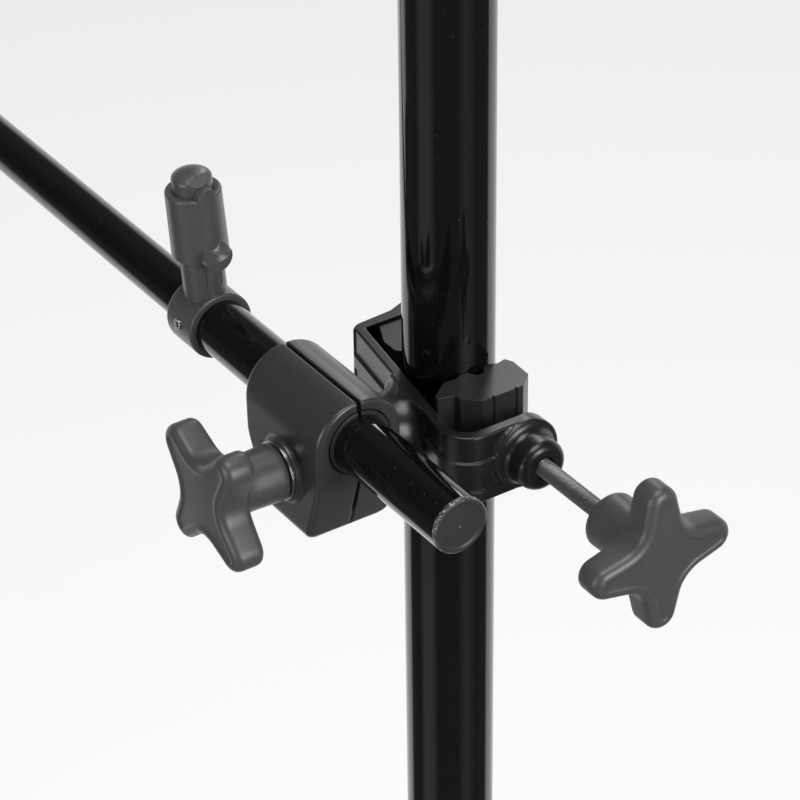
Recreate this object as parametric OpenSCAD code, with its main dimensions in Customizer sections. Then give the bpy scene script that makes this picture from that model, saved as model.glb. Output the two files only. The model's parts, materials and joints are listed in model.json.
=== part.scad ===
// Studio stand of the century type with a boom arm held by a C-bracket clamp.
// Millimetres. +Z is up. The origin is on the floor, under the column's axis.
// The boom lies along X, its long side towards -X, and passes the column on the -Y side.

/* [Column and risers] */
// Outside diameter of the column tube that the clamp holds
column_d = 40; // [36:0.5:45]
// Top end of the column tube above the floor
column_top = 1020; // [900:1:1100]
// Outside diameter of the first riser
riser_1_d = 35; // [33:0.5:35]
// Outside diameter of the second riser
riser_2_d = 30; // [28:0.5:30]
// Length of each riser tube
riser_len = 600; // [450:1:700]
// How far the first riser stands out of the column's collar
riser_1_out = 78; // [66:1:160]
// How far the second riser stands out of the first riser's collar
riser_2_out = 52; // [30:1:160]
// Wall of the column and riser tubes
tube_wall = 1.5; // [1.2:0.1:1.6]
// Height of each locking collar
collar_h = 46; // [42:1:56]
// Diameter of the mounting stud at the top
stud_d = 16; // [12:0.5:17]
// Length of the mounting stud
stud_len = 64; // [50:1:90]

/* [Legs] */
// Distance of each foot's tip from the column's axis
leg_reach = 430; // [400:1:480]
// Outside diameter of the leg tubes
leg_d = 25; // [22:0.5:26]
// Wall of the leg tubes
leg_wall = 1.6; // [1.2:0.1:2]
// Height of each leg collar on the hub
leg_collar_h = 40; // [38:1:44]
// Height of the lowest leg collar's underside above the floor
hub_bottom = 62; // [56:1:74]
// Steepness of the legs' sloping stretch, in degrees
leg_slope = 52; // [46:1:56]
// Radius of the leg bends, to the tube's centre line
leg_bend_r = 45; // [40:1:50]
// Outside diameter of the rubber feet
foot_d = 32; // [30:0.5:36]

/* [Clamp] */
// Height of the clamp's screw above the floor
clamp_h = 740; // [700:1:780]
// Height of the bracket, measured along the column
bracket_h = 32; // [30:0.5:36]
// Wall of the bracket
bracket_wall = 6; // [5:0.25:7]
// Angle between the bracket's spine and the boom
spine_tilt = 9.6; // [6:0.2:12]
// Thickness of the clamp jaw, from the column to its back
jaw_depth = 21; // [19:0.5:24]
// How far the jaw can back away from the column
jaw_travel = 9; // [6:0.5:12]
// Height of the clamp jaw
jaw_h = 44; // [40:0.5:48]
// Thickness of the fixed cradle between the column and the far arm
cradle_depth = 23; // [20:0.5:26]
// Thread diameter of the clamp screw and of the pivot bolt
screw_d = 8; // [6:0.5:9]
// Thread pitch of the clamp screw
screw_pitch = 1.25; // [1:0.05:1.5]
// Bare length of the clamp screw between the bracket's boss and the knob
screw_bare = 43; // [36:0.5:48]

/* [Knobs] */
// Diameter of the two large star knobs, over the tips
knob_d = 68; // [62:1:74]
// Thickness of the lobes of a large star knob
knob_lobe_t = 15; // [12:0.5:17]
// Diameter of the hub of a large star knob
knob_hub_d = 25; // [23:0.5:28]
// Length of the hub of a large star knob
knob_hub_len = 22; // [20:0.5:27]
// Diameter of the small star knobs on the collars, over the tips
small_knob_d = 46; // [42:1:52]

/* [Boom] */
// Outside diameter of the outer boom tube
boom_d = 25; // [24:0.25:26]
// Outside diameter of the inner boom tube
inner_d = 21; // [19:0.25:21.5]
// Wall of both boom tubes
boom_wall = 1.5; // [1:0.1:1.6]
// Distance from the column's axis to the boom's axis, along Y
boom_side = 68; // [66:0.5:72]
// Height of the boom's axis above the clamp screw
boom_rise = 20; // [19.5:0.25:22]
// Length of the boom in front of the column's axis, to the end cap
boom_front = 107; // [100:1:130]
// Distance from the column's axis back to the end of the outer tube
outer_back = 93; // [90:1:110]
// Distance from the column's axis back to the far end of the inner tube
inner_back = 640; // [520:1:760]
// Length of the swivel block along the boom
block_len = 57; // [52:0.5:60]
// Distance of the pivot bolt from the column's axis, along the boom
pivot_x = 8; // [6:0.5:10]

/* [Reflector clips] */
// Length of a clip's ring along the boom
ring_len = 21; // [18:0.5:24]
// Lean of the clips, turned about the boom, in degrees
clip_lean = 4; // [0:0.5:8]
// Diameter of a clip's post
post_d = 19; // [18:0.25:19.5]
// Outside diameter of a clip's sliding sleeve
sleeve_d = 25; // [24:0.25:27]
// Length of a clip's sliding sleeve
sleeve_len = 32; // [30:0.5:34]

/* [Hidden] */
$fn = 64;
// Gap between two pieces that pass each other
gap = 0.3;
// Radial clearance of a running fit
fit = 0.05;
// Cutters reach this far past the solid that they cut
past = 1;

column_r = column_d / 2;
column_bore = column_r - tube_wall;
riser_1_r = riser_1_d / 2;
riser_1_bore = riser_1_r - tube_wall;
riser_2_r = riser_2_d / 2;
screw_r = screw_d / 2;
thread_depth = 0.49 * screw_pitch;
boom_r = boom_d / 2;
inner_r = inner_d / 2;

// Hub: a sleeve round the foot of the column, with three leg collars under a head
hub_wall = 5;
hub_bore = column_r + fit;
hub_r = column_r + hub_wall;
leg_collar_wall = 6;
collar_step = leg_collar_h + gap;
leg_h = [for (i = [0:2]) hub_bottom + leg_collar_h / 2 + i * collar_step];
head_bottom = hub_bottom + 3 * collar_step - gap;
head_h = 48;
hub_top = head_bottom + head_h;
plug_t = 6;
column_bottom = hub_bottom + plug_t + gap;
leg_angle = [60, 300, 180];
foot_slope = 4;
foot_len = 46;
foot_tip_h = foot_d / 2 - 2;
leg_start = hub_r + leg_collar_wall + 6;
bend_start = 85;
bend_lap = 1;
bend_skin = 0.1;

// Column collar and riser collar
collar_wall = 6;
collar_grip = 22;
column_collar_z = column_top - collar_grip;
column_collar_top = column_collar_z + collar_h;
riser_1_top = column_collar_top + riser_1_out;
riser_1_collar_z = riser_1_top - collar_grip;
riser_1_collar_top = riser_1_collar_z + collar_h;
riser_2_top = riser_1_collar_top + riser_2_out;
guide_len = 30;
lock_boss_r = 12;
lock_boss_len = 16;
lock_knob_gap = 4;
small_hub_d = 20;
small_hub_len = 11;
small_lobe_t = 10;
brake_len = 5;

// Clamp bracket, in plan: a C that opens towards +Y
spine_gap = 0.9;
spine_in = column_r + spine_gap;
spine_out = spine_in + bracket_wall;
arm_in = column_r + jaw_depth + jaw_travel;
arm_wall = bracket_wall + 0.6;
arm_out = arm_in + arm_wall;
far_in = column_r + cradle_depth;
far_out = far_in + 5;
far_end = 20;
boss_out = arm_out + 13.5;
boss_r = 11.5;
bush_r = 6;
bush_inset = 4;
bolt_head_r = screw_r + 2;
knob_x = boss_out + screw_bare;
groove_depth = 1.2;

// Swivel: boss on the spine, washer, split block, washer, knob
block_half = 20.5;
block_front = pivot_x + block_len / 2 - 1.5;
block_back = block_front - block_len;
block_face_in = boom_side - block_half;
block_face_out = boom_side + block_half;
swivel_washer_t = 1.1;
pivot_boss_end = block_face_in - swivel_washer_t - 0.4;
pivot_boss_r = 16;
block_top = boom_rise + boom_r + 6.5;
block_bottom = -28;
split_gap = 2;
// Below lean_top the block's two ends lean in by these amounts
lean_top = boom_rise - 16.5;
front_lean = 9.5;
back_lean = 16;
liner_t = 1.1;
liner_bore = boom_r + fit;
liner_r = boom_r + liner_t;
liner_lip = 0.8;
liner_lip_t = 1.8;
hub_seat_t = 2.3;
knob_washer_t = 1.2;
swivel_knob_y = block_face_out + hub_seat_t + knob_washer_t + gap;
insert_r = 6.5;
swivel_knob_turn = 52;
clamp_knob_turn = 4;

// Clips
ring_wall = 3;
ring_r = boom_r + ring_wall;
near_ring_back = -(outer_back + 2);
near_ring_front = near_ring_back + ring_len;
far_clip_x = -(inner_back - 40);
sleeve_bottom = 33;
head_h_post = 11;
spring_wire = 1.2;

// ---------------------------------------------------------------- shared shapes

function unit2(v) = v / norm(v);

// Points of the arc that rounds corner b, between its neighbours a and c
function corner_arc(a, b, c, r, n) =
    let (u = unit2(a - b), w = unit2(c - b), half = acos(u * w) / 2)
    let (centre = b + unit2(u + w) * r / sin(half), p = b + u * r / tan(half), q = b + w * r / tan(half))
    let (a0 = atan2(p.y - centre.y, p.x - centre.x), a1 = atan2(q.y - centre.y, q.x - centre.x))
    let (turn = (a1 - a0 + 540) % 360 - 180)
    [for (k = [0:n]) centre + r * [cos(a0 + turn * k / n), sin(a0 + turn * k / n)]];

// Outline through [x, y, corner radius] points
function rounded(path, n = 6) =
    let (m = len(path))
    [for (i = [0:m - 1])
        let (a = path[(i + m - 1) % m], b = path[i], c = path[(i + 1) % m])
        each b[2] > 0 ? corner_arc([a.x, a.y], [b.x, b.y], [c.x, c.y], b[2], n) : [[b.x, b.y]]];

// Cylinder along +X from x0 to x1
module bar_x(r, x0, x1) {
    translate([x0, 0, 0]) rotate([0, 90, 0]) cylinder(r = r, h = x1 - x0);
}

// Cylinder along -Y from distance y0 to distance y1
module bar_y(r, y0, y1) {
    translate([0, -y0, 0]) rotate([90, 0, 0]) cylinder(r = r, h = y1 - y0);
}

module tube(r, wall, length) {
    difference() {
        cylinder(r = r, h = length);
        translate([0, 0, -past]) cylinder(r = r - wall, h = length + 2 * past);
    }
}

// Screw thread drawn as rings, from z = 0 up
module thread_rings(r, pitch, length) {
    turns = floor(length / pitch);
    root = r - thread_depth;
    edge = [for (k = [0:turns - 1]) each [[root, k * pitch], [r, (k + 0.5) * pitch]]];
    rotate_extrude() polygon(concat([[0, 0]], edge, [[root, turns * pitch], [0, turns * pitch]]));
}

// Four-lobed star in plan: tapered lobes with round tips, joined by round webs
module star_2d(tip_r) {
    lobe_r = tip_r * 0.21;
    taper = 12;
    web_r = tip_r * 0.37;
    tip_c = tip_r - lobe_r;
    reach = tip_c * sin(taper) + lobe_r;
    web_c = (reach + web_r) / (sin(taper) + cos(taper));
    touch = [web_c - web_r * sin(taper), web_c - web_r * cos(taper)];
    tip = [tip_c + lobe_r * sin(taper), lobe_r * cos(taper)];
    for (a = [0:90:270]) rotate(a) {
        translate([tip_c, 0]) circle(r = lobe_r);
        polygon([[0, 0], [touch.x, -touch.y], [tip.x, -tip.y], tip, touch]);
        difference() {
            polygon([[0, 0], touch, [web_c, web_c], [touch.y, touch.x]]);
            translate([web_c, web_c]) circle(r = web_r);
        }
    }
}

// Star knob with its hub's end at z = 0 and its face at the far side
module star_knob(d, lobe_t, hub_d, hub_len) {
    tip_r = d / 2;
    round_r = lobe_t * 0.34;
    crown = lobe_t * 0.04;
    back = hub_len;
    face = hub_len + lobe_t;
    lens = rounded([
        [0, back, 0], [tip_r - round_r, back + crown, 0], [tip_r, back + crown, round_r],
        [tip_r, face - crown, round_r], [0, face + crown, 0]
    ], 5);
    intersection() {
        translate([0, 0, back - past]) linear_extrude(lobe_t + 2 * past + crown) star_2d(tip_r);
        rotate_extrude() polygon(lens);
    }
    rotate_extrude() polygon([
        [0, 0], [hub_d / 2 - 0.8, 0], [hub_d / 2, 0.8], [hub_d / 2 - 0.8, back + past], [0, back + past]
    ]);
}

// Puts its children on the clamp's centre, or on the boom's axis
module at_clamp() {
    translate([0, 0, clamp_h]) children();
}

module at_boom() {
    translate([0, -boom_side, clamp_h + boom_rise]) children();
}

// ---------------------------------------------------------------- hub and legs

module hub_sleeve() {
    color("dimgray") translate([0, 0, hub_bottom]) difference() {
        cylinder(r = hub_r, h = hub_top - hub_bottom);
        translate([0, 0, -past]) cylinder(r = hub_bore, h = hub_top - hub_bottom + 2 * past);
        translate([0, 0, head_bottom - hub_bottom + head_h / 2])
            rotate([0, 90, 0]) cylinder(r = brake_r() + fit, h = hub_r + past);
    }
}

// The plug closes the sleeve, carries the column and keeps the lowest collar on
module hub_plug() {
    color("dimgray") translate([0, 0, hub_bottom]) {
        cylinder(r = hub_bore, h = plug_t);
        translate([0, 0, -plug_t]) rotate_extrude()
            polygon([[0, 0], [hub_r, 0], [hub_r + 3, 3], [hub_r + 3, plug_t - gap], [hub_r, plug_t - gap],
                [hub_r, plug_t], [0, plug_t]]);
    }
}

function brake_r() = screw_r + 1;

// Boss for a lock screw, along +X from the collar's bore
module lock_boss(from_r, to_r) {
    bar_x(lock_boss_r, from_r, to_r - 1.5);
    translate([to_r - 1.5, 0, 0]) rotate([0, 90, 0]) cylinder(r1 = lock_boss_r, r2 = lock_boss_r - 1.5, h = 1.5);
}

module hub_head() {
    boss_end = hub_r + collar_wall + lock_boss_len;
    color("dimgray") translate([0, 0, head_bottom]) difference() {
        union() {
            rotate_extrude() polygon(rounded([
                [0, 0, 0], [hub_r + collar_wall, 0, 2], [hub_r + collar_wall, head_h, 4], [0, head_h, 0]
            ]));
            translate([0, 0, head_h / 2]) lock_boss(hub_r, boss_end);
        }
        translate([0, 0, -past]) cylinder(r = hub_r, h = head_h + 2 * past);
        translate([0, 0, head_h / 2]) bar_x(screw_r + fit, hub_r - past, boss_end + past);
        translate([0, 0, head_h / 2]) bar_x(brake_r(), hub_r - past, hub_r + 2);
    }
}

// Leg collar round the hub sleeve, with a socket for the leg tube along +X
module leg_collar(bore) {
    outer = hub_r + leg_collar_wall;
    socket_r = leg_d / 2 + 3.5;
    socket_end = leg_start + 22;
    difference() {
        union() {
            rotate_extrude() polygon(rounded([
                [0, 0, 0], [outer, 0, 2], [outer, leg_collar_h, 2], [0, leg_collar_h, 0]
            ]));
            translate([0, 0, leg_collar_h / 2]) bar_x(socket_r, 0, socket_end - 2);
            translate([socket_end - 2, 0, leg_collar_h / 2])
                rotate([0, 90, 0]) cylinder(r1 = socket_r, r2 = socket_r - 2, h = 2);
        }
        translate([0, 0, -past]) cylinder(r = bore, h = leg_collar_h + 2 * past);
        translate([0, 0, leg_collar_h / 2]) bar_x(leg_d / 2, leg_start, socket_end + past);
    }
}

// Centre line of a leg at collar height h, drawn in a vertical plane with x outwards
function leg_last(h) =
    let (bends = leg_bend_r * (1 + cos(foot_slope) - 2 * cos(leg_slope)))
    let (flat = leg_reach - bend_start - leg_bend_r * (2 * sin(leg_slope) - sin(foot_slope)))
    (flat - (h - bends - foot_tip_h) / tan(leg_slope)) / (cos(foot_slope) - sin(foot_slope) / tan(leg_slope));

function leg_fall(h) =
    let (bends = leg_bend_r * (1 + cos(foot_slope) - 2 * cos(leg_slope)))
    (h - bends - foot_tip_h - leg_last(h) * sin(foot_slope)) / sin(leg_slope);

// Round bar, or tube where bore is over 0, in short straight and bent lengths
module straight(r, bore, length) {
    rotate([0, 90, 0]) linear_extrude(length) ring_2d(r, bore);
}

module bend(r, bore, angle) {
    rotate_extrude(angle = angle) translate([leg_bend_r, 0]) ring_2d(r, bore);
}

module ring_2d(r, bore) {
    difference() {
        circle(r = r);
        circle(r = bore);
    }
}

// Bent leg: three straight lengths run a little way into two bends of a slightly thicker wall
module leg_bar(h, r, bore) {
    fall = leg_fall(h);
    turn_1 = [bend_start, h - leg_bend_r];
    end_1 = turn_1 + leg_bend_r * [sin(leg_slope), cos(leg_slope)];
    end_2 = end_1 + fall * [cos(leg_slope), -sin(leg_slope)];
    turn_2 = end_2 + leg_bend_r * [sin(leg_slope), cos(leg_slope)];
    end_3 = turn_2 - leg_bend_r * [sin(foot_slope), cos(foot_slope)];
    translate([leg_start, h, 0]) straight(r, bore, bend_start - leg_start + bend_lap);
    translate(turn_1) rotate(90 - leg_slope) bend(r + bend_skin, bore - bend_skin, leg_slope);
    translate(end_1) rotate(-leg_slope) translate([-bend_lap, 0, 0])
        straight(r, bore, fall + 2 * bend_lap);
    translate(turn_2) rotate(270 - leg_slope)
        bend(r + bend_skin, bore - bend_skin, leg_slope - foot_slope);
    translate(end_3) rotate(-foot_slope) translate([-bend_lap, 0, 0])
        straight(r, bore, leg_last(h) + bend_lap);
}

module leg_tube(i) {
    rotate([0, 0, leg_angle[i]]) rotate([90, 0, 0]) leg_bar(leg_h[i], leg_d / 2, leg_d / 2 - leg_wall);
}

// Rubber foot: a boot over the end of the leg tube, flat where it meets the floor
module foot(i) {
    inner = leg_d / 2;
    outer = foot_d / 2;
    rotate([0, 0, leg_angle[i]]) difference() {
        translate([leg_reach, 0, foot_tip_h]) rotate([0, foot_slope, 0]) difference() {
            rotate([0, 90, 0]) rotate_extrude() polygon(rounded([
                [0, -foot_len, 0], [outer, -foot_len, 1.5], [outer, 10, 10], [0, 10, 0]
            ]));
            bar_x(inner, -foot_len - past, 0);
        }
        translate([0, 0, -foot_d]) linear_extrude(foot_d) square(3 * leg_reach, center = true);
    }
}

module leg_collar_at(i, bore) {
    rotate([0, 0, leg_angle[i]]) translate([0, 0, leg_h[i] - leg_collar_h / 2]) leg_collar(bore);
}

module leg_collar_low() { color("dimgray") leg_collar_at(0, hub_r + fit); }
module leg_collar_mid() { color("dimgray") leg_collar_at(1, hub_r + fit); }
module leg_collar_high() { color("dimgray") leg_collar_at(2, hub_r); }
module leg_low() { color("black") leg_tube(0); }
module leg_mid() { color("black") leg_tube(1); }
module leg_high() { color("black") leg_tube(2); }
module foot_low() { color("black") foot(0); }
module foot_mid() { color("black") foot(1); }
module foot_high() { color("black") foot(2); }

// ---------------------------------------------------------------- lock knobs

// Parts of one lock, along +X. grip_r is the tube that it holds, boss_end where its boss ends
module lock_brake(grip_r) {
    bar_x(brake_r() - fit, grip_r + gap, grip_r + gap + brake_len);
}

module lock_screw(grip_r, boss_end) {
    start = grip_r + gap + brake_len + gap;
    translate([start, 0, 0]) rotate([0, 90, 0])
        thread_rings(screw_r, screw_pitch, boss_end + lock_knob_gap + small_hub_len - 2 - start);
}

module lock_knob(boss_end) {
    translate([boss_end + lock_knob_gap, 0, 0]) rotate([0, 90, 0]) difference() {
        star_knob(small_knob_d, small_lobe_t, small_hub_d, small_hub_len);
        translate([0, 0, -past]) cylinder(r = screw_r, h = small_hub_len - 2 + past);
    }
}

hub_boss_end = hub_r + collar_wall + lock_boss_len;
module at_hub_lock() { translate([0, 0, head_bottom + head_h / 2]) children(); }
module hub_brake() { color("white") at_hub_lock() lock_brake(column_r); }
module hub_knob_screw() { color("silver") at_hub_lock() lock_screw(column_r, hub_boss_end); }
module hub_knob() { color("darkslategray") at_hub_lock() lock_knob(hub_boss_end); }

// ---------------------------------------------------------------- column and risers

module column() {
    color("black") translate([0, 0, column_bottom]) tube(column_r, tube_wall, column_top - column_bottom);
}

// Locking collar: its lower half is fixed on the tube below, its upper half guides the riser
module lock_collar(tube_r, riser_r, boss_end) {
    outer = tube_r + collar_wall;
    lock_z = (collar_grip + collar_h) / 2;
    difference() {
        union() {
            rotate_extrude() polygon(rounded([
                [0, 0, 0], [outer - 2, 0, 1], [outer, 6, 4], [outer, collar_h, 5], [0, collar_h, 0]
            ]));
            translate([0, 0, lock_z]) lock_boss(riser_r, boss_end);
        }
        translate([0, 0, -past]) cylinder(r = tube_r, h = collar_grip + past);
        cylinder(r = riser_r + fit, h = collar_h + past);
        translate([0, 0, lock_z]) bar_x(brake_r(), 0, riser_r + gap + brake_len);
        translate([0, 0, lock_z]) bar_x(screw_r + fit, 0, boss_end + past);
    }
}

module at_column_lock() { translate([0, 0, column_collar_z]) rotate([0, 0, 90]) children(); }
module at_riser_lock() { translate([0, 0, riser_1_collar_z]) rotate([0, 0, 90]) children(); }
column_boss_end = column_r + collar_wall + lock_boss_len - 4;
riser_boss_end = riser_1_r + collar_wall + lock_boss_len - 4;
collar_lock_z = (collar_grip + collar_h) / 2;

module column_collar() {
    color("dimgray") at_column_lock() lock_collar(column_r, riser_1_r, column_boss_end);
}
module column_brake() {
    color("white") at_column_lock() translate([0, 0, collar_lock_z]) lock_brake(riser_1_r);
}
module column_knob_screw() {
    color("silver") at_column_lock() translate([0, 0, collar_lock_z]) lock_screw(riser_1_r, column_boss_end);
}
module column_knob() {
    color("darkslategray") at_column_lock() translate([0, 0, collar_lock_z]) lock_knob(column_boss_end);
}
module riser_1() {
    color("black") translate([0, 0, riser_1_top - riser_len]) tube(riser_1_r, tube_wall, riser_len);
}

// Guide bush on the lower end of a riser, running in the tube round it
module riser_guide(bottom, tube_bore, riser_r) {
    lip = 3;
    translate([0, 0, bottom - lip]) difference() {
        union() {
            cylinder(r = tube_bore - fit, h = lip);
            cylinder(r = riser_r - tube_wall, h = guide_len);
        }
        translate([0, 0, -past]) cylinder(r = riser_r - tube_wall - 3, h = guide_len + 2 * past);
    }
}

module riser_1_guide() { color("ivory") riser_guide(riser_1_top - riser_len, column_bore, riser_1_r); }
module riser_1_collar() {
    color("dimgray") at_riser_lock() lock_collar(riser_1_r, riser_2_r, riser_boss_end);
}
module riser_1_brake() {
    color("white") at_riser_lock() translate([0, 0, collar_lock_z]) lock_brake(riser_2_r);
}
module riser_1_knob_screw() {
    color("silver") at_riser_lock() translate([0, 0, collar_lock_z]) lock_screw(riser_2_r, riser_boss_end);
}
module riser_1_knob() {
    color("darkslategray") at_riser_lock() translate([0, 0, collar_lock_z]) lock_knob(riser_boss_end);
}
module riser_2() {
    color("black") translate([0, 0, riser_2_top - riser_len]) tube(riser_2_r, tube_wall, riser_len);
}
module riser_2_guide() { color("ivory") riser_guide(riser_2_top - riser_len, riser_1_bore, riser_2_r); }

// Mounting stud: plug inside the riser, flange, and a pin with a neck for a receiver's screw
module stud() {
    plug_r = riser_2_r - tube_wall;
    flange_t = 6;
    r = stud_d / 2;
    neck = r - 1.5;
    color("silver") translate([0, 0, riser_2_top]) rotate_extrude() polygon([
        [0, -40], [plug_r, -40], [plug_r, 0], [riser_2_r + 3, 0], [riser_2_r + 3, flange_t - 1],
        [riser_2_r + 2, flange_t], [r, flange_t], [r, flange_t + 22], [neck, flange_t + 24],
        [neck, flange_t + 38], [r, flange_t + 40], [r, flange_t + stud_len - 1.5],
        [r - 1.5, flange_t + stud_len], [0, flange_t + stud_len]
    ]);
}

// ---------------------------------------------------------------- clamp bracket

// Y of a line parallel to the spine, at distance d from the column's axis
function spine_y(x, d) = -(d + x * sin(spine_tilt)) / cos(spine_tilt);

// Plan outline of the bracket, its outer side moved in by inset
function bracket_outline(inset) = rounded([
    [arm_out - inset, bracket_h / 2, 0],
    [arm_out - inset, spine_y(arm_out - inset, spine_out - inset), 14 - inset],
    [-far_out + inset, spine_y(-far_out + inset, spine_out - inset), 7 - inset],
    [-far_out - 1.5 + inset, 3, 6], [-far_out - 5 + inset, 12, 6], [-far_out - 5 + inset, far_end, 2],
    [-far_in, far_end, 1], [-far_in, spine_y(-far_in, spine_in), 1.5],
    [arm_in, spine_y(arm_in, spine_in), 8], [arm_in, bracket_h / 2, 0]
]);

// Side form of the bracket: the near arm ends in a round pad about the screw
module bracket_side() {
    half = bracket_h / 2;
    translate([-2 * far_out, -2 * boom_side, -half]) cube([4 * arm_out, 2 * boom_side, bracket_h]);
    translate([-2 * far_out, 0, -half]) cube([2 * far_out, 2 * far_end, bracket_h]);
    bar_x(half, arm_in - past, arm_out + past);
}

// One recess round the outer side, left out near the screw boss and near the pivot boss
module bracket_groove(z0, z1) {
    difference() {
        translate([-far_out + 3, -boom_side, z0]) cube([arm_out + far_out, boom_side + 4, z1 - z0]);
        translate([0, 0, -bracket_h]) linear_extrude(2 * bracket_h) polygon(bracket_outline(groove_depth));
        bar_x(boss_r + 3.5, arm_in, arm_out + past);
        translate([pivot_x, 0, 0]) bar_y(pivot_boss_r + 5, 0, boom_side);
        translate([-far_in, spine_y(0, spine_in), -bracket_h]) cube([far_in + arm_in, boom_side, 2 * bracket_h]);
    }
}

// Turned boss that flares at its foot, from height 0 up
module flared_boss(r, height, flare) {
    rotate_extrude() polygon(concat(
        [[0, -bracket_wall], [r + flare, -bracket_wall]],
        [for (a = [0:15:90]) [r + flare - flare * sin(a), flare - flare * cos(a)]],
        [for (a = [0:30:90]) [r - 2 + 2 * cos(a), height - 2 + 2 * sin(a)]],
        [[0, height]]
    ));
}

// Room for the pivot boss: between the bracket's faces, and sunk no deeper than into its wall
module boss_room() {
    x = pivot_x + boom_side;
    sink = spine_in + 1;
    translate([0, 0, -bracket_h / 2]) linear_extrude(bracket_h) polygon([
        [-x, spine_y(-x, sink)], [-x, -2 * boom_side], [x, -2 * boom_side], [x, spine_y(x, sink)]
    ]);
}

module bracket() {
    color("#1c1c1e") at_clamp() difference() {
        union() {
            intersection() {
                translate([0, 0, -bracket_h / 2]) linear_extrude(bracket_h) polygon(bracket_outline(0));
                bracket_side();
            }
            translate([arm_out, 0, 0]) rotate([0, 90, 0]) flared_boss(boss_r, boss_out - arm_out, 3.5);
            intersection() {
                translate([pivot_x, -spine_out - 3, 0]) rotate([90, 0, 0])
                    flared_boss(pivot_boss_r - 1, pivot_boss_end - spine_out - 3, 5);
                boss_room();
            }
        }
        bracket_groove(bracket_h * 0.12, bracket_h);
        bracket_groove(-bracket_h * 0.33, -bracket_h * 0.075);
        bar_x(bush_r, arm_in - past, boss_out + past);
        translate([pivot_x, 0, 0]) {
            bar_y(screw_r, 0, boom_side);
            bar_y(bolt_head_r, 0, spine_in + 6);
        }
    }
}

// Threaded bush in the near arm's boss
module screw_bush() {
    color("silver") at_clamp() difference() {
        bar_x(bush_r, arm_in, boss_out - bush_inset);
        bar_x(screw_r + fit, arm_in - past, boss_out + past);
    }
}

// Column side of a gripping face: two lands with a groove between, at angle 0
function grip_face() =
    let (r = column_r + gap)
    [[column_r * 0.99, 15], [column_r + 0.8, 10.5], r * [cos(20), sin(20)], r * [cos(12), sin(12)],
        [column_r + 3.5, 1.5], [column_r + 3.5, -1.5], r * [cos(12), -sin(12)], r * [cos(20), -sin(20)],
        [column_r + 0.8, -11]];

// Fixed cradle on the far arm, with the same gripping face as the jaw
module cradle() {
    side = 12.5;
    color("#262628") at_clamp() translate([0, 0, -bracket_h / 2 + 1.5]) linear_extrude(bracket_h - 3)
        mirror([1, 0]) polygon(concat(
            [for (p = grip_face()) if (abs(p.y) < 12) p],
            rounded([[column_r + 2.5, -side, 0], [column_r + 11, -side, 3], [far_in, -7, 0],
                [far_in, far_end - 3, 0], [column_r + 11, side + 2, 3], [column_r + 2.5, side, 0]])
        ));
}

jaw_back = column_r + jaw_depth;
socket_depth = 10;

module jaw() {
    guide_x = column_r + 8.5;
    guide_y = spine_y(guide_x, spine_in) + gap;
    color("#202022") at_clamp() difference() {
        translate([0, 0, -jaw_h / 2]) linear_extrude(jaw_h) polygon(rounded([
            [column_r + 3.5, 16.8, 0], each [for (p = grip_face()) [p.x, p.y, 0]],
            [column_r + 0.3, -16.5, 0], [guide_x - 1.5, guide_y + 0.3, 0], [guide_x + 0.8, guide_y, 0],
            [guide_x + 2.5, -18.2, 0], [guide_x + 6, -18, 0], [jaw_back, -11, 2],
            [jaw_back, -6.8, 0], [jaw_back - 0.9, -6.2, 0], [jaw_back - 0.9, -5.4, 0], [jaw_back, -4.8, 0],
            [jaw_back, 4.8, 0], [jaw_back - 0.9, 5.4, 0], [jaw_back - 0.9, 6.2, 0], [jaw_back, 6.8, 0],
            [jaw_back, 9.5, 2], [jaw_back - 6, 16.3, 0]
        ]));
        bar_x(screw_r + 0.1, jaw_back - socket_depth, jaw_back + past);
        bar_x(screw_r + 1.5, jaw_back - socket_depth + 3, jaw_back - socket_depth + 4.2);
    }
}

// Ring that holds the screw's necked tip in the jaw
module jaw_clip() {
    color("silver") at_clamp() difference() {
        bar_x(screw_r + 1.5, jaw_back - socket_depth + 3, jaw_back - socket_depth + 4.2);
        bar_x(screw_r - 0.9, jaw_back - socket_depth, jaw_back);
    }
}

module clamp_screw() {
    tip = jaw_back - socket_depth + gap;
    clip_at = jaw_back - socket_depth + 3;
    neck_r = screw_r - 1;
    color("#4a4a4c") at_clamp() {
        bar_x(screw_r, tip, clip_at - gap);
        bar_x(neck_r, clip_at - gap, clip_at + 1.2 + gap);
        bar_x(screw_r, clip_at + 1.2 + gap, jaw_back + 1);
        translate([jaw_back + 1, 0, 0]) rotate([0, 90, 0])
            thread_rings(screw_r, screw_pitch, knob_x - jaw_back + knob_hub_len - 8);
    }
}

// Six-sided insert round the thread, moulded into a large knob
module knob_insert(bore) {
    difference() {
        cylinder(r = insert_r, h = knob_hub_len - 8, $fn = 6);
        translate([0, 0, -past]) cylinder(r = bore, h = knob_hub_len);
    }
}

module large_knob(bore_len) {
    difference() {
        star_knob(knob_d, knob_lobe_t, knob_hub_d, knob_hub_len);
        translate([0, 0, 2]) cylinder(r = insert_r, h = knob_hub_len - 8, $fn = 6);
        translate([0, 0, -past]) cylinder(r = screw_r + fit, h = bore_len + past);
    }
}

module at_clamp_knob() {
    at_clamp() translate([knob_x, 0, 0]) rotate([0, 90, 0]) rotate(clamp_knob_turn) children();
}
module clamp_knob() { color("#404042") at_clamp_knob() large_knob(knob_hub_len - 5); }
module clamp_knob_insert() { color("goldenrod") at_clamp_knob() translate([0, 0, 2]) knob_insert(screw_r); }

// ---------------------------------------------------------------- swivel

module at_pivot() { translate([pivot_x, 0, clamp_h]) children(); }

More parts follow.
